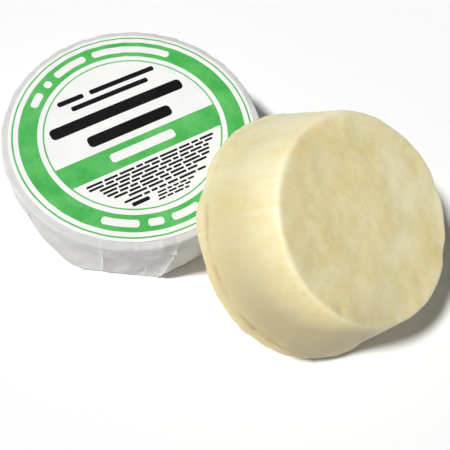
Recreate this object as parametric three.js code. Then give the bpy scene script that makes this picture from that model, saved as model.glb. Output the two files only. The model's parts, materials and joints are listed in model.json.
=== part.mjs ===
// Two shaving soap pucks: one wrapped in pleated tissue, lying flat, and one bare, leaning on its edge.
// Millimetres, +Z up. The origin is in the middle of the footprint, on the surface that both stand on.
// +X runs from the wrapped puck to the bare one.

import * as THREE from 'three';

// Soap puck: a cone frustum with rounded edges, the same soap in both places
const soapHeight = 24.6;
const soapBaseRadius = 33;
const soapFaceRadius = 25.4;
const soapBaseRounding = 1.4;
const soapFaceRounding = 1.5;

// Gap between any two pieces that rest on each other
const clearance = 0.3;

// Tissue wrapper: a cup around the soap, and pleats folded in over the soap's base
const paperThickness = 0.4;
const wrapperFootRadius = 30;
const wrapperFootRounding = 2.2;
const wrapperRimRadius = soapBaseRadius + clearance + paperThickness;
const pleatCount = 16;
const pleatTipRadius = 6.5;

// Round paper label that holds the pleats down
const labelRadius = 32;
const labelThickness = 0.2;

// The bare puck stands on its base edge, and its base leans on the wrapper's rim
const leanAngle = THREE.MathUtils.degToRad(30);

// How finely round shapes are divided; a multiple of 4 puts corners on the X and Y axes
const turnSteps = 48;
const roundingSteps = 4;

// Heights of the layers of the wrapped puck
const wrappedSoapBottom = paperThickness + clearance;
const wrapperRimHeight = wrappedSoapBottom + soapHeight;
const pleatBottom = wrapperRimHeight + clearance;
const pleatTop = pleatBottom + paperThickness;
const labelBottom = pleatTop + clearance;
const labelTop = labelBottom + labelThickness;

// A pleat is folded along a straight line, a chord of the round rim
const pleatAngle = (2 * Math.PI) / pleatCount;
const foldRadius = wrapperRimRadius * Math.cos(pleatAngle / 2);

const soapMaterial = { color: 0xe1d6a4, roughness: 0.45, metalness: 0 };
const tissueMaterial = { color: 0xeeedea, roughness: 0.85, metalness: 0 };
const labelMaterial = { color: 0xf7f7f4, roughness: 0.6, metalness: 0 };

function namedMesh(name, geometry, finish) {
  const mesh = new THREE.Mesh(geometry, new THREE.MeshStandardMaterial(finish));
  mesh.name = name;
  return mesh;
}

function stepFrom(corner, neighbour, distance) {
  return neighbour.clone().sub(corner).setLength(distance).add(corner);
}

// Turns an outline of [radius, height, rounding] corners about the Z axis
function turned(corners) {
  const points = corners.map(([radius, height]) => new THREE.Vector2(radius, height));
  const outline = new THREE.Path();
  outline.moveTo(points[0].x, points[0].y);
  for (let i = 1; i < points.length; i += 1) {
    const corner = points[i];
    const rounding = corners[i][2];
    if (rounding > 0) {
      const before = stepFrom(corner, points[i - 1], rounding);
      const after = stepFrom(corner, points[i + 1], rounding);
      outline.lineTo(before.x, before.y);
      outline.quadraticCurveTo(corner.x, corner.y, after.x, after.y);
    } else {
      outline.lineTo(corner.x, corner.y);
    }
  }
  const geometry = new THREE.LatheGeometry(outline.getPoints(roundingSteps), turnSteps);
  return geometry.rotateX(Math.PI / 2);
}

// Soap with its base, the wide face, at height 0
function soapGeometry() {
  return turned([
    [0, 0],
    [soapBaseRadius, 0, soapBaseRounding],
    [soapFaceRadius, soapHeight, soapFaceRounding],
    [0, soapHeight],
  ]);
}

// The wrapped soap lies with its narrow face down
function wrappedSoap() {
  const mesh = namedMesh('wrapped_soap', soapGeometry(), soapMaterial);
  mesh.rotation.x = Math.PI;
  mesh.position.z = wrapperRimHeight;
  return mesh;
}

// Floor and side wall of the tissue, open at the top
function wrapperCup() {
  const geometry = turned([
    [0, 0],
    [wrapperFootRadius, 0, wrapperFootRounding],
    [wrapperRimRadius, wrapperRimHeight],
    [wrapperRimRadius - paperThickness, wrapperRimHeight],
    [wrapperFootRadius - paperThickness, paperThickness, wrapperFootRounding],
    [0, paperThickness],
  ]);
  return namedMesh('wrapper_cup', geometry, tissueMaterial);
}

// Flap of tissue between two pleats, from the fold at the rim to its tip near the middle
function pleat(number) {
  const slope = Math.tan(pleatAngle / 2);
  const sideGap = clearance / 2 / Math.cos(pleatAngle / 2);
  const foldHalfWidth = foldRadius * slope - sideGap;
  const tipHalfWidth = pleatTipRadius * slope - sideGap;
  const outline = new THREE.Shape();
  outline.moveTo(foldRadius, -foldHalfWidth);
  outline.lineTo(foldRadius, foldHalfWidth);
  outline.lineTo(pleatTipRadius, tipHalfWidth);
  outline.lineTo(pleatTipRadius, -tipHalfWidth);
  const geometry = new THREE.ExtrudeGeometry(outline, { depth: paperThickness, bevelEnabled: false });
  const name = `pleat_${String(number).padStart(2, '0')}`;
  const mesh = namedMesh(name, geometry, tissueMaterial);
  mesh.position.z = pleatBottom;
  mesh.rotation.z = (number - 1) * pleatAngle;
  return mesh;
}

function label() {
  return namedMesh('label', turned([
    [0, labelBottom],
    [labelRadius, labelBottom],
    [labelRadius, labelTop],
    [0, labelTop],
  ]), labelMaterial);
}

function wrappedPuck() {
  const group = new THREE.Group();
  group.add(wrapperCup(), wrappedSoap(), label());
  for (let number = 1; number <= pleatCount; number += 1) {
    group.add(pleat(number));
  }
  return group;
}

// Tilted about Y, lowered until its base edge touches the ground, and slid against the wrapper's rim
function leaningPuck() {
  const group = new THREE.Group();
  group.rotation.y = leanAngle;
  group.add(namedMesh('bare_soap', soapGeometry(), soapMaterial));
  group.position.z = -new THREE.Box3().setFromObject(group, true).min.z;

  const alongX = Math.sin(leanAngle);
  const alongZ = Math.cos(leanAngle);
  const rimCorners = [
    [wrapperRimRadius, wrapperRimHeight],
    [foldRadius, pleatTop],
    [labelRadius, labelTop],
  ];
  const reaches = rimCorners.map(([x, z]) => x * alongX + z * alongZ);
  const baseReach = Math.max(...reaches) + clearance;
  group.position.x = (baseReach - group.position.z * alongZ) / alongX;
  return group;
}

const pucks = new THREE.Group();
pucks.add(wrappedPuck(), leaningPuck());

// Puts the origin in the middle of the footprint
const bounds = new THREE.Box3().setFromObject(pucks, true);
pucks.position.x = -(bounds.min.x + bounds.max.x) / 2;

export default pucks;
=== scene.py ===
import json
import math

import bpy
import numpy as np
from mathutils import Matrix, Vector, noise


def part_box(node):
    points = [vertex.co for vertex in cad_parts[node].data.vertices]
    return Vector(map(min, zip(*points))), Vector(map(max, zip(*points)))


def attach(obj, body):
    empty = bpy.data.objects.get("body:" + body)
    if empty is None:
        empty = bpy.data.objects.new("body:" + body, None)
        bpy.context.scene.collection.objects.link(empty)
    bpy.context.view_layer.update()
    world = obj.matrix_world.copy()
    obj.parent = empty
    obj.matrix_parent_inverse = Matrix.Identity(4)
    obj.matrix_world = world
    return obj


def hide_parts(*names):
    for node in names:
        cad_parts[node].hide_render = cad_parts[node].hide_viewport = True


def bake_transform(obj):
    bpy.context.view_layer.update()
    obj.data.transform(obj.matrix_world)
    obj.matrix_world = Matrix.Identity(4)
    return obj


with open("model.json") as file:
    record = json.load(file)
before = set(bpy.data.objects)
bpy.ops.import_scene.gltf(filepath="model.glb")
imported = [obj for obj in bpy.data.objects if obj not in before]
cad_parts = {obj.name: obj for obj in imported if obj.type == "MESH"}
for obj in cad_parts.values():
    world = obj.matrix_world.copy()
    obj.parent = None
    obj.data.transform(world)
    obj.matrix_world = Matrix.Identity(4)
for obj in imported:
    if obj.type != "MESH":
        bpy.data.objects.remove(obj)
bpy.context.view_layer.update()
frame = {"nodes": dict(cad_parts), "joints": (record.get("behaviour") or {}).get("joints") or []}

# Two shaving soap pucks: one wrapped in pleated tissue under a round label, lying flat, and one
# bare, standing on its edge and leaning on the wrapped one. Metres, +Z up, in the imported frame.

MM = 0.001

# ---------------------------------------------------------------------------------------------
# Dimensions read from the frame
# ---------------------------------------------------------------------------------------------

cup_low, cup_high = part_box("wrapper_cup")
axis_x = (cup_low[0] + cup_high[0]) / 2
rim_radius = (cup_high[1] - cup_low[1]) / 2
wrapped_low, wrapped_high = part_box("wrapped_soap")
soap_radius = (wrapped_high[1] - wrapped_low[1]) / 2
soap_height = wrapped_high[2] - wrapped_low[2]
first_pleat_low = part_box("pleat_01")[0]
fold_height = first_pleat_low[2]
pleat_tip = first_pleat_low[0] - axis_x
label_low, label_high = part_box("label")
label_radius = (label_high[1] - label_low[1]) / 2
joints = {joint["name"]: joint for joint in frame["joints"]}
lean_angle = math.asin(joints["label_peel"]["axis"][2])
pleat_names = sorted(node for node in frame["nodes"] if node.startswith("pleat_"))

# ---------------------------------------------------------------------------------------------
# Mesh helpers. A grid has rows and columns of points; its outer side is where the cross product
# of the column step and the row step points.
# ---------------------------------------------------------------------------------------------

sharp_fold = math.radians(50)


def smooth(values):
    """0 below 0, 1 above 1, and an even curve between"""
    t = np.clip(values, 0, 1)
    return t * t * (3 - 2 * t)


def field(points, size, octaves=3, shift=0.0):
    """Even random values, mostly from -1 to 1, whose lumps are about size across. Shift picks
    another place in the noise, so that two fields differ."""
    flat = np.asarray(points).reshape(-1, 3) / size + shift
    values = [noise.fractal(Vector(p), 1.0, 2.0, octaves) for p in flat]
    return np.array(values).reshape(np.shape(points)[:-1])


def ridges(points, size, shift=0.0):
    """Random values from 0 to about 1, with sharp crests like crumpled paper"""
    flat = np.asarray(points).reshape(-1, 3) / size + shift
    values = [noise.ridged_multi_fractal(Vector(p), 1.0, 2.0, 3, 1.0, 2.0) for p in flat]
    return np.array(values).reshape(np.shape(points)[:-1]) / 2


def grid_faces(rows, columns, wrap, start=0, flip=False):
    """Quads of a grid of points; wrap joins its last column to its first one"""
    faces = []
    for i in range(rows - 1):
        for j in range(columns if wrap else columns - 1):
            k = (j + 1) % columns
            near, far = start + i * columns, start + (i + 1) * columns
            quad = (near + j, near + k, far + k, far + j)
            faces.append(quad[::-1] if flip else quad)
    return faces


def fan_faces(pole, ring_start, columns, first, flip=False):
    """Triangles from a pole to the ring next to it: the first ring of a grid, or the last"""
    faces = []
    for j in range(columns):
        here, following = ring_start + j, ring_start + (j + 1) % columns
        corners = (pole, following, here) if first else (here, following, pole)
        faces.append(corners[::-1] if flip else corners)
    return faces


def grid_normals(grid, wrap):
    """Unit vectors towards the outer side, one at each point of a grid"""
    down = np.gradient(grid, axis=0)
    if wrap:
        across = np.roll(grid, -1, axis=1) - np.roll(grid, 1, axis=1)
    else:
        across = np.gradient(grid, axis=1)
    normals = np.cross(across, down)
    return normals / np.maximum(np.linalg.norm(normals, axis=-1, keepdims=True), 1e-12)


def turned_body(rings):
    """Points and faces of a closed body: rings of points from a pole at one end to one at the other"""
    rows, columns = rings.shape[:2]
    poles = [rings[0].mean(axis=0), rings[-1].mean(axis=0)]
    points = np.concatenate([rings.reshape(-1, 3), poles])
    total = rows * columns
    faces = grid_faces(rows, columns, True)
    faces += fan_faces(total, 0, columns, True)
    faces += fan_faces(total + 1, total - columns, columns, False)
    return points, faces


def bowl_body(rings, thickness):
    """A thin bowl: rings of points from its bottom pole to its open rim, and the same set inwards"""
    rows, columns = rings.shape[:2]
    total = rows * columns
    inner = rings - grid_normals(rings, True) * thickness
    poles = [rings[0].mean(axis=0), inner[0].mean(axis=0)]
    points = np.concatenate([rings.reshape(-1, 3), inner.reshape(-1, 3), poles])
    faces = grid_faces(rows, columns, True) + grid_faces(rows, columns, True, total, True)
    faces += fan_faces(2 * total, 0, columns, True)
    faces += fan_faces(2 * total + 1, total, columns, True, True)
    for j in range(columns):
        k = (j + 1) % columns
        outer_row, inner_row = total - columns, 2 * total - columns
        faces.append((outer_row + j, outer_row + k, inner_row + k, inner_row + j))
    return points, faces


def sheet_body(grid, thickness):
    """A thin closed sheet: a grid of points with four edges, and the same set one thickness below"""
    rows, columns = grid.shape[:2]
    total = rows * columns
    below = grid - grid_normals(grid, False) * thickness
    points = np.concatenate([grid.reshape(-1, 3), below.reshape(-1, 3)])
    faces = grid_faces(rows, columns, False) + grid_faces(rows, columns, False, total, True)
    for j in range(columns - 1):
        last = total - columns + j
        faces.append((last, last + 1, last + 1 + total, last + total))
        faces.append((j + 1, j, j + total, j + 1 + total))
    for i in range(rows - 1):
        left, right = i * columns, i * columns + columns - 1
        faces.append((right + columns, right, right + total, right + columns + total))
        faces.append((left, left + columns, left + columns + total, left + total))
    return points, faces


def add_piece(name, points, faces, materials, face_slots=None, masks=None):
    """A smooth-shaded mesh object, with sharp edges where it folds hard. Masks are values at its
    points, by name, that a material reads."""
    mesh = bpy.data.meshes.new(name)
    mesh.from_pydata([tuple(p) for p in points], [], faces)
    for material in materials:
        mesh.materials.append(material)
    if face_slots is not None:
        mesh.polygons.foreach_set("material_index", face_slots)
    mesh.polygons.foreach_set("use_smooth", [True] * len(faces))
    for key, values in (masks or {}).items():
        layer = mesh.attributes.new(key, "FLOAT", "POINT")
        layer.data.foreach_set("value", np.asarray(values, np.float32))
    mesh.set_sharp_from_angle(angle=sharp_fold)
    mesh.update()
    piece = bpy.data.objects.new(name, mesh)
    bpy.context.scene.collection.objects.link(piece)
    return piece


def rounded_outline(corners, step, arc_steps=8):
    """Points along an outline of (radius, height, rounding) corners, no further apart than step"""
    places = [np.array(corner[:2]) for corner in corners]
    points = []
    for i, here in enumerate(places):
        rounding = corners[i][2]
        if rounding == 0:
            points.append(here)
            continue
        back = places[i - 1] - here
        ahead = places[i + 1] - here
        start = here + back / np.linalg.norm(back) * rounding
        end = here + ahead / np.linalg.norm(ahead) * rounding
        for t in np.linspace(0, 1, arc_steps + 1):
            points.append((1 - t) ** 2 * start + 2 * t * (1 - t) * here + t * t * end)
    dense = [points[0]]
    for a, b in zip(points, points[1:]):
        pieces = max(1, math.ceil(np.linalg.norm(b - a) / step))
        dense += [a + (b - a) * k / pieces for k in range(1, pieces + 1)]
    return np.array(dense)


# ---------------------------------------------------------------------------------------------
# Materials
# ---------------------------------------------------------------------------------------------

range_sockets = ("From Min", "From Max", "To Min", "To Max")


def srgb(red, green, blue):
    """Linear colour of an 8-bit display colour"""
    channels = [c / 255 for c in (red, green, blue)]
    return [c / 12.92 if c <= 0.04045 else ((c + 0.055) / 1.055) ** 2.4 for c in channels] + [1.0]


class Shading:
    """A material whose one Principled shader is fed by procedural nodes"""

    def __init__(self, name, roughness=0.5, **constants):
        self.material = bpy.data.materials.new(name)
        self.material.use_nodes = True
        self.tree = self.material.node_tree
        self.shader = self.tree.nodes["Principled BSDF"]
        self.shader.inputs["Roughness"].default_value = roughness
        for socket, value in constants.items():
            self.shader.inputs[socket.replace("_", " ")].default_value = value
        self.place = self.node("ShaderNodeTexCoord").outputs["Object"]

    def node(self, kind):
        return self.tree.nodes.new(kind)

    def link(self, out, into):
        self.tree.links.new(out, into)

    def noise(self, size, detail=4, roughness=0.55, stretch=(1, 1, 1)):
        """Noise whose features are about size metres across"""
        mapping = self.node("ShaderNodeMapping")
        mapping.inputs["Scale"].default_value = stretch
        self.link(self.place, mapping.inputs["Vector"])
        texture = self.node("ShaderNodeTexNoise")
        texture.inputs["Scale"].default_value = 1 / size
        texture.inputs["Detail"].default_value = detail
        texture.inputs["Roughness"].default_value = roughness
        self.link(mapping.outputs["Vector"], texture.inputs["Vector"])
        return texture.outputs["Fac"]

    def cells(self, size):
        """Distance to the nearest of random points that are about size metres apart"""
        texture = self.node("ShaderNodeTexVoronoi")
        texture.inputs["Scale"].default_value = 1 / size
        self.link(self.place, texture.inputs["Vector"])
        return texture.outputs["Distance"]

    def mask(self, name):
        """One of the mesh's own masks"""
        attribute = self.node("ShaderNodeAttribute")
        attribute.attribute_name = name
        return attribute.outputs["Fac"]

    def ranged(self, value, low, high, to_low=0.0, to_high=1.0):
        """A value taken from one range to another and held inside it"""
        limits = self.node("ShaderNodeMapRange")
        for socket, number in zip(range_sockets, (low, high, to_low, to_high)):
            limits.inputs[socket].default_value = number
        self.link(value, limits.inputs["Value"])
        return limits.outputs["Result"]

    def times(self, a, b):
        """Product of a node's value and a number or another node's value"""
        product = self.node("ShaderNodeMath")
        product.operation = "MULTIPLY"
        self.link(a, product.inputs[0])
        if isinstance(b, float):
            product.inputs[1].default_value = b
        else:
            self.link(b, product.inputs[1])
        return product.outputs["Value"]

    def mixed(self, factor, first, second):
        """A colour between two, each an RGBA list or another node's colour"""
        mix = self.node("ShaderNodeMix")
        mix.data_type = "RGBA"
        self.link(factor, mix.inputs["Factor"])
        for socket, colour in ((mix.inputs[6], first), (mix.inputs[7], second)):
            if isinstance(colour, list):
                socket.default_value = colour
            else:
                self.link(colour, socket)
        return mix.outputs[2]

    def colour(self, output):
        self.link(output, self.shader.inputs["Base Color"])

    def roughened(self, output):
        self.link(output, self.shader.inputs["Roughness"])

    def bumps(self, *layers):
        """Stacks (height, strength, depth in metres) layers of bump on each other"""
        normal = None
        for height, strength, depth in layers:
            bump = self.node("ShaderNodeBump")
            bump.inputs["Strength"].default_value = strength
            bump.inputs["Distance"].default_value = depth
            self.link(height, bump.inputs["Height"])
            if normal is not None:
                self.link(normal, bump.inputs["Normal"])
            normal = bump.outputs["Normal"]
        self.link(normal, self.shader.inputs["Normal"])


def soap_material():
    """Cream soap with slow clouds, mottling, grain and specks, and the four masks of soap_puck"""
    soap = Shading(
        "soap",
        Subsurface_Weight=0.35,
        Subsurface_Scale=3 * MM,
        Subsurface_Radius=(1.0, 0.75, 0.3),
        IOR=1.46,
    )
    clouds = soap.ranged(soap.noise(12 * MM, 4, 0.52), 0.34, 0.66)
    body = soap.mixed(clouds, srgb(249, 241, 198), srgb(238, 221, 156))
    mottle = soap.ranged(soap.noise(2 * MM, 5, 0.66), 0.42, 0.70, 0.0, 0.5)
    body = soap.mixed(mottle, body, srgb(246, 240, 208))
    grain = soap.ranged(soap.noise(0.45 * MM, 3, 0.7), 0.40, 0.66, 0.0, 0.35)
    body = soap.mixed(grain, body, srgb(222, 200, 140))
    body = soap.mixed(soap.mask("warm"), body, srgb(244, 221, 150))
    # Pale spots, the lip and streaks, and a painted highlight along the face's edge
    body = soap.mixed(soap.mask("pale"), body, srgb(246, 242, 212))
    # Painted shade on the lower side and in the crevice over the lip, partly the soap's own duller tone
    body = soap.mixed(soap.mask("dull_and_shade"), body, srgb(186, 172, 132))
    # Painted shade: brown along the grooves, darker where they are deeper
    body = soap.mixed(soap.mask("groove_shade"), body, srgb(176, 138, 72))
    patchy = soap.ranged(soap.noise(6 * MM, 3), 0.48, 0.62)
    specks = soap.times(soap.ranged(soap.cells(1.5 * MM), 0.14, 0.04, 0.0, 0.6), patchy)
    soap.colour(soap.mixed(specks, body, srgb(170, 142, 86)))
    soap.roughened(soap.ranged(soap.noise(4 * MM, 4), 0.3, 0.7, 0.42, 0.62))
    soap.bumps(
        (soap.noise(5 * MM, 4, 0.5), 0.25, 0.12 * MM),
        (soap.noise(0.8 * MM, 3, 0.6), 0.18, 0.04 * MM),
    )
    return soap.material


def tissue_material():
    """White tissue, a little translucent, with fibres and fine crumples"""
    tissue = Shading("tissue", 0.82, Subsurface_Weight=0.1, Subsurface_Scale=MM, Subsurface_Radius=(1, 1, 1))
    grey = tissue.ranged(tissue.noise(9 * MM, 4), 0.35, 0.75, 0.0, 0.5)
    tissue.colour(tissue.mixed(grey, srgb(222, 221, 219), srgb(200, 198, 195)))
    fibres = tissue.noise(0.5 * MM, 3, 0.7, (1, 1, 0.3))
    tissue.bumps(
        (tissue.noise(5 * MM, 5, 0.65), 0.35, 0.5 * MM),
        (tissue.cells(7 * MM), 0.45, 1.2 * MM),
        (fibres, 0.2, 0.05 * MM),
    )
    return tissue.material


def paper_material():
    """Coated white paper"""
    paper = Shading("label_paper", roughness=0.55)
    tone = paper.ranged(paper.noise(6 * MM, 3), 0.3, 0.7)
    paper.colour(paper.mixed(tone, srgb(250, 250, 248), srgb(243, 243, 241)))
    paper.bumps((paper.noise(0.4 * MM, 3, 0.6), 0.12, 0.03 * MM))
    return paper.material


def ink_material(name, dark, light, roughness):
    """Flat ink, a little uneven where the paper took more or less of it"""
    ink = Shading(name, roughness=roughness, Specular_IOR_Level=0.2)
    tone = ink.ranged(ink.noise(7 * MM, 5, 0.7), 0.35, 0.65)
    ink.colour(ink.mixed(tone, srgb(*dark), srgb(*light)))
    ink.bumps((ink.noise(0.4 * MM, 3, 0.6), 0.12, 0.03 * MM))
    return ink.material


soap_finish = soap_material()
tissue_finish = tissue_material()
paper_finish = paper_material()
green_ink = ink_material("green_ink", (70, 178, 82), (104, 196, 108), 0.5)
black_ink = ink_material("black_ink", (8, 8, 8), (20, 19, 19), 0.6)

# ---------------------------------------------------------------------------------------------
# Soap
# ---------------------------------------------------------------------------------------------

# The face is the narrow end. The outline has a tiny hole at each end, which turned_body closes.
face_radius = 26.2 * MM
base_rounding = 1.5 * MM
face_rounding = 1.1 * MM
pole_radius = 0.4 * MM
soap_step = 0.65 * MM
around_soap = 320

# Size across and depth of the slow lumps and of the small ones
slow_lump, slow_lump_depth = 18 * MM, 0.42 * MM
small_lump, small_lump_depth = 4 * MM, 0.12 * MM

# The lip that the mould leaves round the base, how much it varies, and the crevice over it
lip_height, lip_depth, lip_variation = 2.7 * MM, 0.30 * MM, 0.5 * MM
crevice_height, crevice_width, crevice_depth = 3.4 * MM, 0.5 * MM, 0.22 * MM

# Streaks: their width, how far in over the face they start, the length in which they come in, and
# how much of their length the noise sees
streak_width, streak_start, streak_fade = 1.6 * MM, 6 * MM, 5 * MM
streak_stretch = 0.12

# The painted highlight along the face's edge: how far it goes down the side and in over the face
highlight_down, highlight_in = 1.3 * MM, 1.1 * MM


def blobs(points, spots):
    """Sum of soft round spots, each (x, y, z, radius, strength) in millimetres and a number"""
    total = np.zeros(points.shape[:-1])
    for x, y, z, radius, strength in spots:
        distance = np.linalg.norm(points / MM - (x, y, z), axis=-1)
        total += strength * np.exp(-((distance / radius) ** 2))
    return total


def side_place(azimuth, height):
    """Point in millimetres on the puck's side, at an azimuth in degrees and a height"""
    slope = (soap_radius - face_radius) / soap_height
    radius = soap_radius / MM - slope * height
    angle = math.radians(azimuth)
    return radius * math.cos(angle), radius * math.sin(angle), height


def scratch(azimuths, heights, points, width):
    """Soft groove round the side, from 0 off it to 1 along its middle, through azimuths in degrees
    and heights in millimetres"""
    fade = 6
    angle = np.degrees(np.arctan2(points[..., 1], points[..., 0]))
    middle = np.interp(angle, azimuths, heights)
    ends = smooth((angle - azimuths[0]) / fade) * smooth((azimuths[-1] - angle) / fade)
    wide = np.exp(-(((points[..., 2] / MM - middle) / width) ** 2))
    on_side = np.hypot(points[..., 0], points[..., 1]) > face_radius * 0.9
    return ends * wide * on_side


def soap_puck(name, matrix, shift, skew, dents, warm, pale, dull_and_shade, grooves):
    """A poured and unmoulded puck, base down at height 0, then placed by the matrix.

    Shift is its place in the noise, and skew is how far its face sits off its axis, in millimetres.
    Dents and the warm, pale and dull spots are as blobs takes them, a dent's strength being its
    depth in millimetres; the dull spots are painted shade, partly the soap's own duller tone.
    Grooves are (azimuths, heights, width, depth)."""
    outline = rounded_outline(
        [
            (pole_radius, 0, 0),
            (soap_radius, 0, base_rounding),
            (face_radius, soap_height, face_rounding),
            (pole_radius, soap_height, 0),
        ],
        soap_step,
    )
    slope = np.gradient(outline, axis=0)
    slope /= np.linalg.norm(slope, axis=1, keepdims=True)
    turn = np.linspace(0, 2 * np.pi, around_soap, endpoint=False)
    radius, height = outline[:, :1], outline[:, 1:]
    rings = np.stack([radius * np.cos(turn), radius * np.sin(turn), height + 0 * turn], axis=-1)
    outward = np.stack(
        [slope[:, 1:] * np.cos(turn), slope[:, 1:] * np.sin(turn), -slope[:, :1] + 0 * turn], axis=-1
    )

    # Lumps all over, a thick uneven lip round the base with a crevice over it, dents and grooves
    off = slow_lump_depth * field(rings, slow_lump, 3, shift)
    off += small_lump_depth * field(rings, small_lump, 3, shift + 20)
    on_base = radius > 0.5 * soap_radius
    lip = np.exp(-((height / lip_height) ** 8)) * on_base
    lip_edge = np.stack([np.cos(turn), np.sin(turn), 0 * turn], axis=-1) * soap_radius
    uneven = field(lip_edge, 9 * MM, 3, shift + 40)
    off += lip * (lip_depth + lip_variation * uneven)
    crevice = np.exp(-(((height - crevice_height) / crevice_width) ** 2)) * on_base
    crevice = crevice * smooth(0.5 + 1.5 * uneven)
    off -= crevice_depth * crevice
    off -= MM * blobs(rings, dents)
    groove_depth = np.zeros(off.shape)
    for azimuths, heights, width, depth in grooves:
        groove_depth = np.maximum(groove_depth, depth * scratch(azimuths, heights, rings, width))
    off -= groove_depth * MM
    rings = rings + outward * off[..., None]
    rings[..., 0] += skew * MM * height / soap_height

    # Streaks that run up the side and in over the edge of the face
    ray_x = face_radius * np.cos(turn) + 0 * radius
    ray_y = face_radius * np.sin(turn) + 0 * radius
    along_ray = (radius - height) * streak_stretch + 0 * turn
    streaks = field(np.stack([ray_x, ray_y, along_ray], axis=-1), streak_width, 3, shift)
    streaks *= smooth((radius - face_radius + streak_start) / streak_fade)

    # A pale band along the face's edge: a painted highlight
    edge_highlight = np.exp(-(((height - soap_height) / highlight_down) ** 2))
    edge_highlight = edge_highlight * np.exp(-(((radius - face_radius) / highlight_in) ** 2))
    masks = {
        "warm": np.clip(blobs(rings, warm), 0, 1),
        # Pale spots, lip and streaks, with the painted highlight at the face's edge
        "pale": np.clip(blobs(rings, pale) + 0.5 * edge_highlight + 0.25 * lip + 0.5 * streaks, 0, 1),
        # Painted shade: darker spots low on the side and in the crevice over the lip, partly the soap's own
        # duller tone
        "dull_and_shade": np.clip(blobs(rings, dull_and_shade) + 0.3 * crevice, 0, 1),
        # Painted shade in the grooves
        "groove_shade": np.clip(groove_depth * 2.2 * (0.6 + field(rings, 2 * MM, 3, shift + 60)), 0, 1),
    }

    # The base is flat, and where the puck stands on the floor it is worn flat too
    rings[..., 2] = np.maximum(rings[..., 2], 0.0)
    points, faces = turned_body(rings)
    masks = {key: np.append(value.ravel(), (value[0, 0], value[-1, 0])) for key, value in masks.items()}
    placed = points @ np.array(matrix.to_3x3()).T + np.array(matrix.translation)
    placed[:, 2] = np.maximum(placed[:, 2], 0.0)
    return add_piece(name, placed, faces, [soap_finish], masks=masks)


def leaning_place():
    """The bare puck's own frame: its axis leans towards +X, and its own +X runs down the slope"""
    axis = Vector((math.sin(lean_angle), 0, math.cos(lean_angle)))
    downhill = Vector((math.cos(lean_angle), 0, -math.sin(lean_angle)))
    corners = np.array([v.co for v in frame["nodes"]["bare_soap"].data.vertices])
    along = corners @ np.array(axis)
    base = corners[along < along.min() + 0.01 * MM]
    centre = Vector((base.min(axis=0) + base.max(axis=0)) / 2)
    rotation = Matrix((downhill, Vector((0, 1, 0)), axis)).transposed()
    return Matrix.Translation(centre) @ rotation.to_4x4()


def make_bare_soap():
    """The leaning puck. Its spots sit on its face, at height top, or on its side."""
    top = soap_height / MM
    return soap_puck(
        "bare_soap_puck",
        leaning_place(),
        3.7,
        skew=0.6,
        dents=[
            (1, 12, top, 1.6, 0.18),
            (11, 0, top, 5, 0.16),
            (4, -24, top, 1.1, 0.35),
            (24, 8, top - 1, 2.6, 0.5),
            (14, 22, top - 1, 3.0, 0.35),
            (*side_place(-87, 20.3), 0.7, 0.35),
            (*side_place(-73, 17.2), 0.8, 0.35),
            (*side_place(-110, 12), 6, 0.35),
            (*side_place(170, 11), 5, 0.35),
            (*side_place(150, 2), 4, 0.6),
            (*side_place(-165, 1), 3, 0.5),
            (*side_place(-128, 0.5), 2.5, 0.5),
        ],
        warm=[
            (-24, 3, top, 4, 0.7),
            (-21, 9, top, 4, 0.55),
            (-23, -5, top, 3.5, 0.6),
            (-20, -11, top, 3.5, 0.6),
            (-15.5, -16.5, top, 3.5, 0.5),
            (-8, 4, top, 9, 0.25),
            (*side_place(-130, 4), 5, 0.4),
            (*side_place(-84, 20), 5, 0.35),
            (*side_place(-88, 2.6), 4, 0.6),
            (*side_place(-104, 2.6), 4, 0.5),
            (*side_place(-122, 2.8), 4, 0.4),
        ],
        pale=[
            (2, 16, top, 4.5, 0.45),
            (7, 10.5, top, 4.5, 0.5),
            (12.7, 2, top, 3.5, 0.45),
            (11, -2, top, 3, 0.35),
            (*side_place(-152, 21), 6, 0.3),
            (*side_place(-168, 14), 7, 0.3),
            (*side_place(160, 18), 9, 0.3),
            (*side_place(-60, 6), 7, 0.45),
            (*side_place(150, 12), 8, 0.5),
            (1.2, -14.6, top, 0.9, 0.5),
            (4.7, -15.5, top, 0.8, 0.5),
        ],
        # Painted shade low on the side, partly the soap's own duller tone
        dull_and_shade=[
            (*side_place(-75, 12), 11, 0.65),
            (*side_place(-52, 12), 11, 0.8),
            (*side_place(-62, 4), 8, 0.55),
            (*side_place(-92, 8), 8, 0.4),
            (*side_place(-60, 20), 6, 0.45),
            (*side_place(-25, 10), 11, 0.4),
            (*side_place(-112, 9), 12, 0.7),
            (*side_place(-145, 8), 13, 0.5),
            (*side_place(175, 10), 13, 0.3),
        ],
        grooves=[
            ((-106, -96, -86, -74), (3.4, 3.6, 3.1, 3.2), 0.26, 0.42),
            ((-152, -140, -128, -116), (4.2, 3.4, 3.6, 3.0), 0.24, 0.28),
            ((-99, -92, -84, -76), (4.9, 4.3, 4.5, 4.1), 0.18, 0.28),
        ],
    )


def make_wrapped_soap():
    """Wide face up inside the wrapper: the same soap turned over, and a little smaller so that it
    stays clear of the tissue"""
    flip = Matrix.Translation((axis_x, 0, wrapped_high[2])) @ Matrix.Rotation(math.pi, 4, "X")
    shrink = Matrix.Diagonal((0.985, 0.985, 0.99, 1))
    return soap_puck(
        "wrapped_soap_puck",
        flip @ shrink,
        11.3,
        skew=0.0,
        dents=[(6, 4, 0, 5, 0.25), (-14, 9, 0, 3, 0.3), (-8, -15, 0, 4, 0.3), (18, -10, 0, 2.5, 0.35)],
        warm=[(-12, 6, 0, 7, 0.5), (16, 12, 0, 6, 0.45), (4, -20, 0, 6, 0.4)],
        pale=[(10, -6, 0, 7, 0.5), (-18, -12, 0, 5, 0.4), (-2, 18, 0, 6, 0.4)],
        dull_and_shade=[],
        grooves=[],
    )


# ---------------------------------------------------------------------------------------------
# Tissue: a cup of paper up the side, and a flap folded in at the rim for each pleat body
# ---------------------------------------------------------------------------------------------

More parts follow.
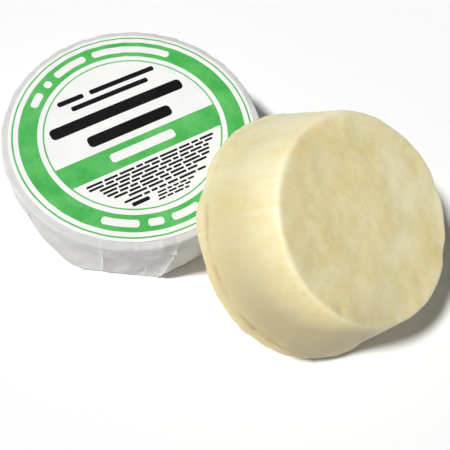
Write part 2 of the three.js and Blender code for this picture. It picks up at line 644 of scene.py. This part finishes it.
tissue_thickness = 0.04 * MM
columns_per_flap = 36
tissue_columns = columns_per_flap * len(pleat_names)
flap_angle = 2 * math.pi / len(pleat_names)

# Radius where the side bulges most, radius and height of the fold that the flaps start from, and
# the height in which the side rolls over to it
rim_bulge = rim_radius + 0.15 * MM
fold_radius = rim_radius - 0.45 * MM
fold_top = fold_height + 0.25 * MM
rim_roll = 1.5 * MM

# The foot: radius at its corners, its rounding, its height over the floor, and the least height
# that a dent leaves it
foot_corner_radius = 30.9 * MM
foot_rounding = 1.1 * MM
foot_lift = 0.12 * MM
least_height = 0.06 * MM

# How far the flat facets between corners may go in, and how wide the crest of a crease is
facet_depth = 1.7 * MM
crest_width = 0.6 * MM

# Small pleats at the rim: how many to a flap, and how far they stand out and up
small_pleats = 2
pleat_depth = 0.42 * MM
pleat_rise = 0.18 * MM

# A flap: its height over the fold, how much wider than a plain wedge it gets where it reaches over
# the next one, how far it rises from its near side to its far side, and how far its torn tip varies
flap_lift = 0.42 * MM
flap_overlap = 1.8
flap_layer = 0.05 * MM
tip_variation = 0.9 * MM

# Creases up the side: azimuth at the rim and at the foot in degrees, whether the side is a corner
# there, how far one side stands over the other, and how far the crease stands up, in millimetres
side_creases = [
    (-168, -158, 1, 0.4, 0.3),
    (-150, -128, 1, -0.5, 0.4),
    (-137, -104, 0, 0.6, 0.4),
    (-126, -88, 1, 0.5, 0.6),
    (-104, -83, 0, -0.5, 0.3),
    (-74, -78, 0, 0.9, 0.2),
    (-53, -56, 0, -0.3, 0.5),
    (-42, -49, 1, 0.4, 0.6),
    (-32, -44, 0, -0.6, 0.5),
    (-22, -38, 0, 0.5, 0.3),
    (-7, -16, 1, 0.4, 0.4),
    (9, -2, 0, -0.6, 0.3),
    (19, 14, 1, 0.4, 0.4),
    (31, 45, 0, 0.7, 0.3),
    (57, 55, 1, -0.4, 0.4),
    (70, 84, 0, 0.8, 0.3),
    (88, 97, 1, 0.4, 0.4),
    (110, 101, 0, -0.7, 0.4),
    (120, 129, 1, 0.4, 0.4),
    (134, 136, 0, 0.8, 0.3),
    (159, 141, 0, -0.5, 0.5),
    (170, 175, 1, -0.4, 0.4),
]
crease_rims, crease_feet, crease_corners, crease_steps, crease_crests = np.array(side_creases).T

# Crumpled places on the side: azimuth in degrees, and height, reach and depth in millimetres, all
# at the same distance from the axis, in millimetres
knot_radius = 33
tissue_knots = [
    (-44, 20, 3.6, 1.7),
    (-36, 16, 4.0, 1.0),
    (-78, 3, 3.0, 0.9),
    (-120, 14, 6.0, 0.8),
    (-150, 18, 5.0, 0.8),
    (64, 18, 4.0, 1.4),
    (105, 20, 3.5, 1.4),
    (150, 9, 5.0, 1.4),
]


def tissue_turn():
    """Azimuth of each column of the tissue; the first flap starts half a flap before +X"""
    return np.linspace(0, 2 * np.pi, tissue_columns, endpoint=False) - flap_angle / 2


def pleat_wave(turn):
    """Saw wave round the rim that steps up at each small pleat"""
    random = np.random.default_rng(5)
    spacing = flap_angle / small_pleats
    count = small_pleats * len(pleat_names)
    edges = -flap_angle / 2 + spacing * (np.arange(count) + 0.5)
    edges = edges + random.uniform(-0.22, 0.22, count) * spacing
    heights = random.uniform(0.25, 1.0, count)
    edges = np.concatenate([edges, edges[:1] + 2 * np.pi])
    placed = (turn - edges[0]) % (2 * np.pi) + edges[0]
    index = np.clip(np.searchsorted(edges, placed, side="right") - 1, 0, count - 1)
    share = (placed - edges[index]) / (edges[index + 1] - edges[index])
    return (0.5 - share) * heights[index]


def round_again(values):
    """A list of angles in radians, with its first one again a turn later"""
    return np.append(values, values[0] + 2 * np.pi)


def slanted(rims, feet, rise):
    """Azimuths at a share of the height, of lines from the foot to the rim that sweep sideways"""
    return feet + (rims - feet) * rise**0.8


def side_row(turn, rise):
    """Azimuth and radius of each column at a share of the side's height. A column runs along the
    creases beside it. Low down the side is flat between its corners, and at the rim it is round."""
    rims, feet = round_again(np.radians(crease_rims)), round_again(np.radians(crease_feet))
    placed = (turn - rims[0]) % (2 * np.pi) + rims[0]
    azimuth = slanted(placed, np.interp(placed, rims, feet), rise)
    edges = slanted(rims, feet, rise)
    index = np.clip(np.searchsorted(rims, placed, side="right") - 1, 0, len(rims) - 2)
    share = (placed - rims[index]) / (rims[index + 1] - rims[index])

    corners = np.flatnonzero(np.append(crease_corners, 1))
    corner_index = np.clip(np.searchsorted(rims[corners], placed, side="right") - 1, 0, len(corners) - 2)
    low, high = edges[corners][corner_index], edges[corners][corner_index + 1]
    corner = foot_corner_radius + (rim_bulge - foot_corner_radius) * rise**0.85
    flat = corner * np.cos((high - low) / 2) / np.cos(azimuth - (low + high) / 2)
    flat = np.maximum(flat, corner - facet_depth)
    radius = flat + (corner - flat) * smooth((rise - 0.45) / 0.55)

    fading = smooth(rise / 0.1) * smooth((1 - rise) / 0.15)
    ramp = (0.5 - share) * np.exp(-np.minimum(share, 1 - share) / 0.35)
    radius += fading * MM * crease_steps[index] * ramp
    nearest = np.where(share < 0.5, index, (index + 1) % len(side_creases))
    to_crease = np.minimum(share, 1 - share) * (edges[index + 1] - edges[index]) * corner
    radius += (0.3 + 0.7 * fading) * MM * crease_crests[nearest] * np.exp(-to_crease / crest_width)
    return azimuth, radius


def make_tissue_cup():
    """Floor, foot, side and rim of the tissue, as rows of (azimuths, radii, heights)"""
    turn = tissue_turn()
    pleats = pleat_wave(turn)
    foot_turn, foot = side_row(turn, 0.0)
    side_low, side_top = foot_rounding, fold_height - rim_roll
    rows = []
    for share in np.linspace(0.02, 1, 10)[:-1]:
        rows.append((foot_turn, (foot - foot_rounding) * share, foot_lift))
    for t in np.linspace(0, 1, 6)[:-1]:
        radius = foot - (1 - t) ** 2 * foot_rounding
        rows.append((foot_turn, radius, foot_lift * (1 - t) + t * t * foot_rounding))
    for rise in np.linspace(0, 1, 50)[:-1]:
        rows.append((*side_row(turn, rise), side_low + (side_top - side_low) * rise))
    rim_turn, bulge = side_row(turn, 1.0)
    for t in np.linspace(0, 1, 10):
        radius = (1 - t) ** 2 * bulge + 2 * t * (1 - t) * (bulge + 0.1 * MM) + t * t * fold_radius
        radius = radius + smooth(t * 2) * pleat_depth * pleats
        height = (1 - t) ** 2 * side_top + (1 - (1 - t) ** 2) * fold_top
        rows.append((rim_turn, radius, height + t * pleat_rise * pleats))
    rings = [np.stack([r * np.cos(a), r * np.sin(a), z + 0 * turn], axis=-1) for a, r, z in rows]
    rings = np.array(rings)

    # Soft dents between the creases, crumples and knots, in millimetres, fading out at the fold
    heights = rings[..., 2]
    fade = smooth(heights / (2 * MM)) * smooth((fold_height - 0.5 * MM - heights) / (3 * MM))
    dents = 0.35 * field(rings, 9 * MM, 2, 2.0)
    crumpled = smooth(0.5 + 1.4 * field(rings, 22 * MM, 2, 30.0))
    crumple = (0.25 + 0.55 * crumpled) * (ridges(rings, 10 * MM, 7.0) - 0.5)
    crumple += 0.28 * crumpled * (ridges(rings, 3.5 * MM, 17.0) - 0.5)
    shape = dents + crumple
    for azimuth, height, reach, depth in tissue_knots:
        angle = math.radians(azimuth)
        middle = np.array((knot_radius * math.cos(angle), knot_radius * math.sin(angle), height))
        nearness = np.exp(-((np.linalg.norm(rings / MM - middle, axis=-1) / reach) ** 2))
        shape += depth * nearness * (ridges(rings, 2.6 * MM, azimuth) - 0.4)
    outward = grid_normals(rings, True)
    rings = rings + outward * (MM * fade * shape)[..., None]
    rings[..., 2] = np.maximum(rings[..., 2], least_height)
    rings[..., 0] += axis_x
    points, faces = bowl_body(rings, tissue_thickness)
    return add_piece("tissue_cup", points, faces, [tissue_finish])


def make_tissue_flap(number, name):
    """The tissue of one pleat: it starts on the cup's edge and runs in over the soap. Its far side
    reaches over the next flap, as pleats lie on each other, where both open alike."""
    following = pleat_names[number % len(pleat_names)]
    own_range, next_range = (joints[f"{flap}_fold"]["range_deg"][1] for flap in (name, following))
    overlap = flap_overlap if abs(own_range - next_range) < 1 else 0.0
    centre = (number - 1) * flap_angle
    across = np.linspace(-flap_angle / 2, flap_angle / 2, columns_per_flap + 1)
    pleats = pleat_wave(centre + across)
    edge_radius = fold_radius + pleat_depth * pleats
    half_slope = math.tan(flap_angle / 2)
    torn = np.stack([across * 40 * MM, across * 0 + number * 0.1, across * 0], axis=-1)
    tip = pleat_tip + tip_variation * smooth(0.5 + field(torn, 4 * MM, 3))
    share = np.linspace(0, 1, columns_per_flap + 1)
    near_fold = 0.12
    steps = np.concatenate([np.linspace(0, near_fold, 9)[:-1], np.linspace(near_fold, 1, 26)])
    rows = []
    for u in steps:
        x = edge_radius * np.cos(across) * (1 - u) + tip * u
        low = -x * half_slope
        high = x * half_slope + overlap * (fold_radius - x) * half_slope
        y_edge = edge_radius * np.sin(across)
        inward = min(1.0, u / 0.06)
        y = y_edge * (1 - inward) + (low + (high - low) * share) * inward
        lead = np.arctan2(y, x) + flap_angle / 2
        layer = flap_layer * lead / flap_angle
        folds = pleat_rise * pleats * (1 - smooth(u / near_fold))
        flat = fold_height + flap_lift + layer
        past_edge = smooth(u / 0.05)
        z = (fold_top + pleat_rise * pleats) * (1 - past_edge) + (flat + folds) * past_edge
        turned_x = x * math.cos(centre) - y * math.sin(centre)
        turned_y = x * math.sin(centre) + y * math.cos(centre)
        place = np.stack([turned_x, turned_y, z], axis=-1)
        place[..., 2] += 0.05 * MM * smooth((u - 0.03) / 0.1) * field(place * (1, 1, 0), 5 * MM, 2, 4.0)
        place[..., 0] += axis_x
        rows.append(place)
    points, faces = sheet_body(np.array(rows), tissue_thickness)
    piece = add_piece(f"tissue_{name}", points, faces, [tissue_finish])
    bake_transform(piece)
    return piece


# ---------------------------------------------------------------------------------------------
# Label: white paper with printed rings, a band, and plain bars where lines of text would be.
# Its own x runs along the lines, and its own y up the label.
# ---------------------------------------------------------------------------------------------

label_turn = math.radians(56.5)
label_rest = label_low[2] + 0.12 * MM
label_thickness = 0.10 * MM

# Inner and outer radius of each green ring, in millimetres, and the green band's lower edge, upper
# edge and radius
printed_rings = [(22.85, 23.25), (24.6, 29.4), (30.7, 31.15)]
band_low, band_high = -8.5 * MM, -1.75 * MM
band_radius = 23.0 * MM
ink_lift = 0.02 * MM
ink_thickness = 0.015 * MM


def label_height(x, y):
    """Height of the paper over label_rest: it sags off the rim and shows the pleats beneath"""
    radius = np.hypot(x, y)
    turn = np.arctan2(y, x) + label_turn
    ribs = 0.05 * np.sin(32 * turn + 2 * np.sin(3 * turn)) * smooth((radius / MM - 18) / 12)
    droop = -0.16 * smooth((radius / MM - 30.4) / 2.4) * (1 + 0.4 * np.sin(3 * turn + 1))
    waves = 0.10 * np.sin(x / (9 * MM) + 1.3) * np.sin(y / (11 * MM) + 0.4)
    return MM * (ribs + droop + waves)


def on_label(x, y, lift=0.0):
    """Points on the paper, or a lift over it, from the label's own x and y"""
    along, up = math.cos(label_turn), math.sin(label_turn)
    z = label_rest + label_height(x, y) + lift
    return np.stack([axis_x + x * along - y * up, x * up + y * along, z], axis=-1)


def make_label():
    """The paper disc. Its rows are at the edges of the rings, and close enough to bend between."""
    radii = list(np.linspace(0.5, 22.4, 32)) + [radius for ring in printed_rings for radius in ring]
    radii += [23.9, 25.8, 27, 28.2, 30.1, 31.5, 31.8, label_radius / MM]
    radii = np.array(sorted(radii)) * MM
    turn = np.linspace(0, 2 * np.pi, 360, endpoint=False)
    top = np.array([on_label(r * np.cos(turn), r * np.sin(turn)) for r in radii])
    under = top - (0, 0, label_thickness)
    rings = np.concatenate([under, top[::-1]])
    points, faces = turned_body(rings)
    slots = []
    for i in range(len(rings) - 1):
        row = len(rings) - 1 - i
        on_top = i >= len(radii)
        middle = (radii[row] + radii[row - 1]) / 2 / MM if on_top and row > 0 else 0
        green = on_top and any(low < middle < high for low, high in printed_rings)
        slots += [int(green)] * len(turn)
    slots += [0] * (len(faces) - len(slots))
    return add_piece("label_disc", points, faces, [paper_finish, green_ink], slots)


def bar(x_low, x_high, y, height, corner=0.35):
    """Grid of a printed bar with rounded corners, in millimetres on the label"""
    rows = []
    corner = min(corner * height, (x_high - x_low) / 2)
    for v in np.sin(np.linspace(-math.pi / 2, math.pi / 2, 13)):
        from_edge = (1 - abs(v)) * height / 2
        cut = corner - math.sqrt(max(corner**2 - max(corner - from_edge, 0) ** 2, 0))
        count = max(3, int((x_high - x_low) / 1.0))
        rows.append([(x, y + v * height / 2) for x in np.linspace(x_low + cut, x_high - cut, count)])
    return np.array(rows)


def arc_bar(start, end, radius, height):
    """Grid of a printed bar that follows the round of the label, between two angles in degrees"""
    count = max(3, int((end - start) / 1.5))
    rows = []
    for v in np.linspace(-1, 1, 5):
        cut = math.degrees(0.25 * height / radius) * max(0.0, abs(v) - 0.5) * 2
        angles = np.radians(np.linspace(end - cut, start + cut, count))
        distance = radius + v * height / 2
        rows.append(np.stack([distance * np.cos(angles), distance * np.sin(angles)], axis=-1))
    return np.array(rows)


def make_print(name, material, grids, lift):
    """One thin piece of ink or paper for each grid, all in one object on the label's surface"""
    points, faces = [], []
    for grid in grids:
        placed = on_label(grid[..., 0] * MM, grid[..., 1] * MM, lift)
        if grid_normals(placed, False)[..., 2].mean() < 0:
            placed = placed[:, ::-1]
        more, these = sheet_body(placed, ink_thickness)
        faces += [tuple(index + len(points) for index in face) for face in these]
        points += list(more)
    return add_piece(name, points, faces, [material])


def band_grid():
    """The green band right across the inner disc, its ends on the thin ring"""
    rows = []
    for y in np.linspace(band_low, band_high, 15):
        half = math.sqrt(band_radius**2 - y**2)
        rows.append([(x / MM, y / MM) for x in np.linspace(-half, half, 90)])
    return np.array(rows)


def title_bars():
    """The words over the band: two short lines, the first one in two parts, and two large lines"""
    return [
        bar(-14.0, -6.6, 16.1, 1.5),
        bar(-4.8, 14.2, 16.1, 1.5),
        bar(-11.3, 11.0, 13.3, 1.5),
        bar(-19.6, 18.6, 8.2, 3.4),
        bar(-12.0, 12.0, 1.9, 3.4),
    ]


def word_bars(random, x, line_end, y, height, lengths, gap, shortest):
    """A line of words, as short bars of uneven length, from x to the line's end"""
    bars = []
    while x < line_end - shortest:
        end = min(x + random.uniform(*lengths), line_end)
        bars.append(bar(x, end, y, height))
        x = end + gap
    return bars


def small_lines():
    """Small words inside the lower part of the disc: eight lines, and three smaller ones with a
    plain bar beside them"""
    random = np.random.default_rng(21)
    grids = []
    lines = [(-9.9, 18.2), (-11.0, 18.0), (-12.1, 15.6), (-13.2, 15.2), (-14.3, 14.6), (-15.4, 13.2)]
    lines += [(-16.5, 9.8), (-17.8, 11.6)]
    for y, half in lines:
        grids += word_bars(random, -half, half, y, 0.64, (1.6, 5.2), 0.5, 1.2)
    for row, line_end in enumerate((7.4, 6.2, 5.0)):
        y = -19.0 - 0.95 * row
        grids += word_bars(random, -3.0 - 0.3 * row, line_end, y, 0.52, (1.2, 3.0), 0.4, 1.0)
    grids.append(bar(-10.2, -5.4, -19.3, 1.1))
    return grids


def ring_bars():
    """White bars in the green ring, one for each word, over the top and under the bottom"""
    spans = [(127, 137), (117.5, 122), (92, 113), (42, 87.5), (-134, -114), (-109.5, -101), (-96.5, -80)]
    return [arc_bar(start, end, 27.0, 2.1) for start, end in spans]


# ---------------------------------------------------------------------------------------------
# Stage
# ---------------------------------------------------------------------------------------------

# Strength of the sky at the horizon and overhead, and the height, on a dome of radius 1, from
# which it is dim
sky_low, sky_high = 0.62, 0.04
dim_from = 0.40

floor_drop = 0.05 * MM


def make_floor():
    """White board, far larger than the picture"""
    reach = 4.0
    grid = np.array([[(x, y, -floor_drop) for x in (-reach, reach)] for y in (-reach, reach)])
    floor = Shading("floor", roughness=0.7)
    floor.colour(floor.mixed(floor.noise(0.3, 2), srgb(250, 250, 250), srgb(247, 247, 248)))
    piece = add_piece("floor", grid.reshape(-1, 3), grid_faces(2, 2, False), [floor.material])


def make_sun(name, direction, spread, strength):
    """Light from far away in a direction, spread over a disc this many degrees wide"""
    sun = bpy.data.lights.new(name, "SUN")
    sun.angle = math.radians(spread)
    sun.energy = strength
    holder = bpy.data.objects.new(name, sun)
    holder.rotation_euler = (-Vector(direction)).to_track_quat("-Z", "Y").to_euler()
    bpy.context.scene.collection.objects.link(holder)


def make_sky():
    """White along the horizon, like a backdrop, and dim overhead"""
    world = bpy.data.worlds.new("studio")
    world.use_nodes = True
    nodes, links = world.node_tree.nodes, world.node_tree.links
    direction = nodes.new("ShaderNodeTexCoord").outputs["Generated"]
    split = nodes.new("ShaderNodeSeparateXYZ")
    links.new(direction, split.inputs["Vector"])
    dimming = nodes.new("ShaderNodeMapRange")
    for socket, number in zip(range_sockets, (0.0, dim_from, sky_low, sky_high)):
        dimming.inputs[socket].default_value = number
    links.new(split.outputs["Z"], dimming.inputs["Value"])
    background = nodes["Background"]
    background.inputs["Color"].default_value = (1.0, 1.0, 1.0, 1.0)
    links.new(dimming.outputs["Result"], background.inputs["Strength"])
    bpy.context.scene.world = world
    bpy.context.scene.view_settings.view_transform = "Standard"


def make_camera():
    """From in front and above, a little to the right, and rolled, so that the row climbs to the left"""
    azimuth, elevation, roll = (math.radians(angle) for angle in (17.0, 62.35, 10.5))
    distance, to_right, down = 207.8 * MM, 23.8 * MM, 24.4 * MM
    level_share = math.cos(elevation)
    forward = Vector(
        (-math.sin(azimuth) * level_share, math.cos(azimuth) * level_share, -math.sin(elevation))
    )
    level = Vector((math.cos(azimuth), math.sin(azimuth), 0))
    upright = level.cross(forward)
    right = level * math.cos(roll) + upright * math.sin(roll)
    up = upright * math.cos(roll) - level * math.sin(roll)
    camera = bpy.data.cameras.new("camera")
    camera.sensor_width = 36
    camera.lens = 63.9
    camera.clip_start = 5 * MM
    holder = bpy.data.objects.new("camera", camera)
    label_centre = Vector((axis_x, 0, label_high[2]))
    eye = label_centre + right * to_right - up * down - forward * distance
    holder.matrix_world = Matrix.Translation(eye) @ Matrix((right, up, -forward)).transposed().to_4x4()
    bpy.context.scene.collection.objects.link(holder)
    bpy.context.scene.camera = holder


make_camera()
make_sky()
make_floor()
make_sun("key", (-0.32, -0.38, 0.87), 7, 3.3)
make_sun("fill", (0.40, 0.25, 0.88), 50, 0.14)

# ---------------------------------------------------------------------------------------------
# Pieces, and the bodies that they ride on; the tissue flaps are put on no body
# ---------------------------------------------------------------------------------------------

bare_soap = make_bare_soap()
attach(bare_soap, "bare_soap")
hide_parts("bare_soap")

wrapped_soap = make_wrapped_soap()
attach(wrapped_soap, "wrapper")
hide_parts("wrapped_soap")

tissue_cup = make_tissue_cup()
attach(tissue_cup, "wrapper")
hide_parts("wrapper_cup")

for flap_number, pleat_name in enumerate(pleat_names, 1):
    flap = make_tissue_flap(flap_number, pleat_name)
    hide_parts(pleat_name)

label = make_label()
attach(label, "label")
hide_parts("label")

prints = [
    ("label_band", green_ink, [band_grid()], ink_lift, "green_ink"),
    ("label_title", black_ink, title_bars(), ink_lift, "black_ink"),
    ("label_small_print", black_ink, small_lines(), ink_lift, "black_ink"),
    ("label_ring_marks", paper_finish, ring_bars(), ink_lift, "label_paper"),
    ("label_band_mark", paper_finish, [bar(-9.0, 9.4, -5.0, 2.7)], 2 * ink_lift, "label_paper"),
]
for print_name, finish, print_grids, height_over, slot_name in prints:
    printed = make_print(print_name, finish, print_grids, height_over)
    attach(printed, "label")
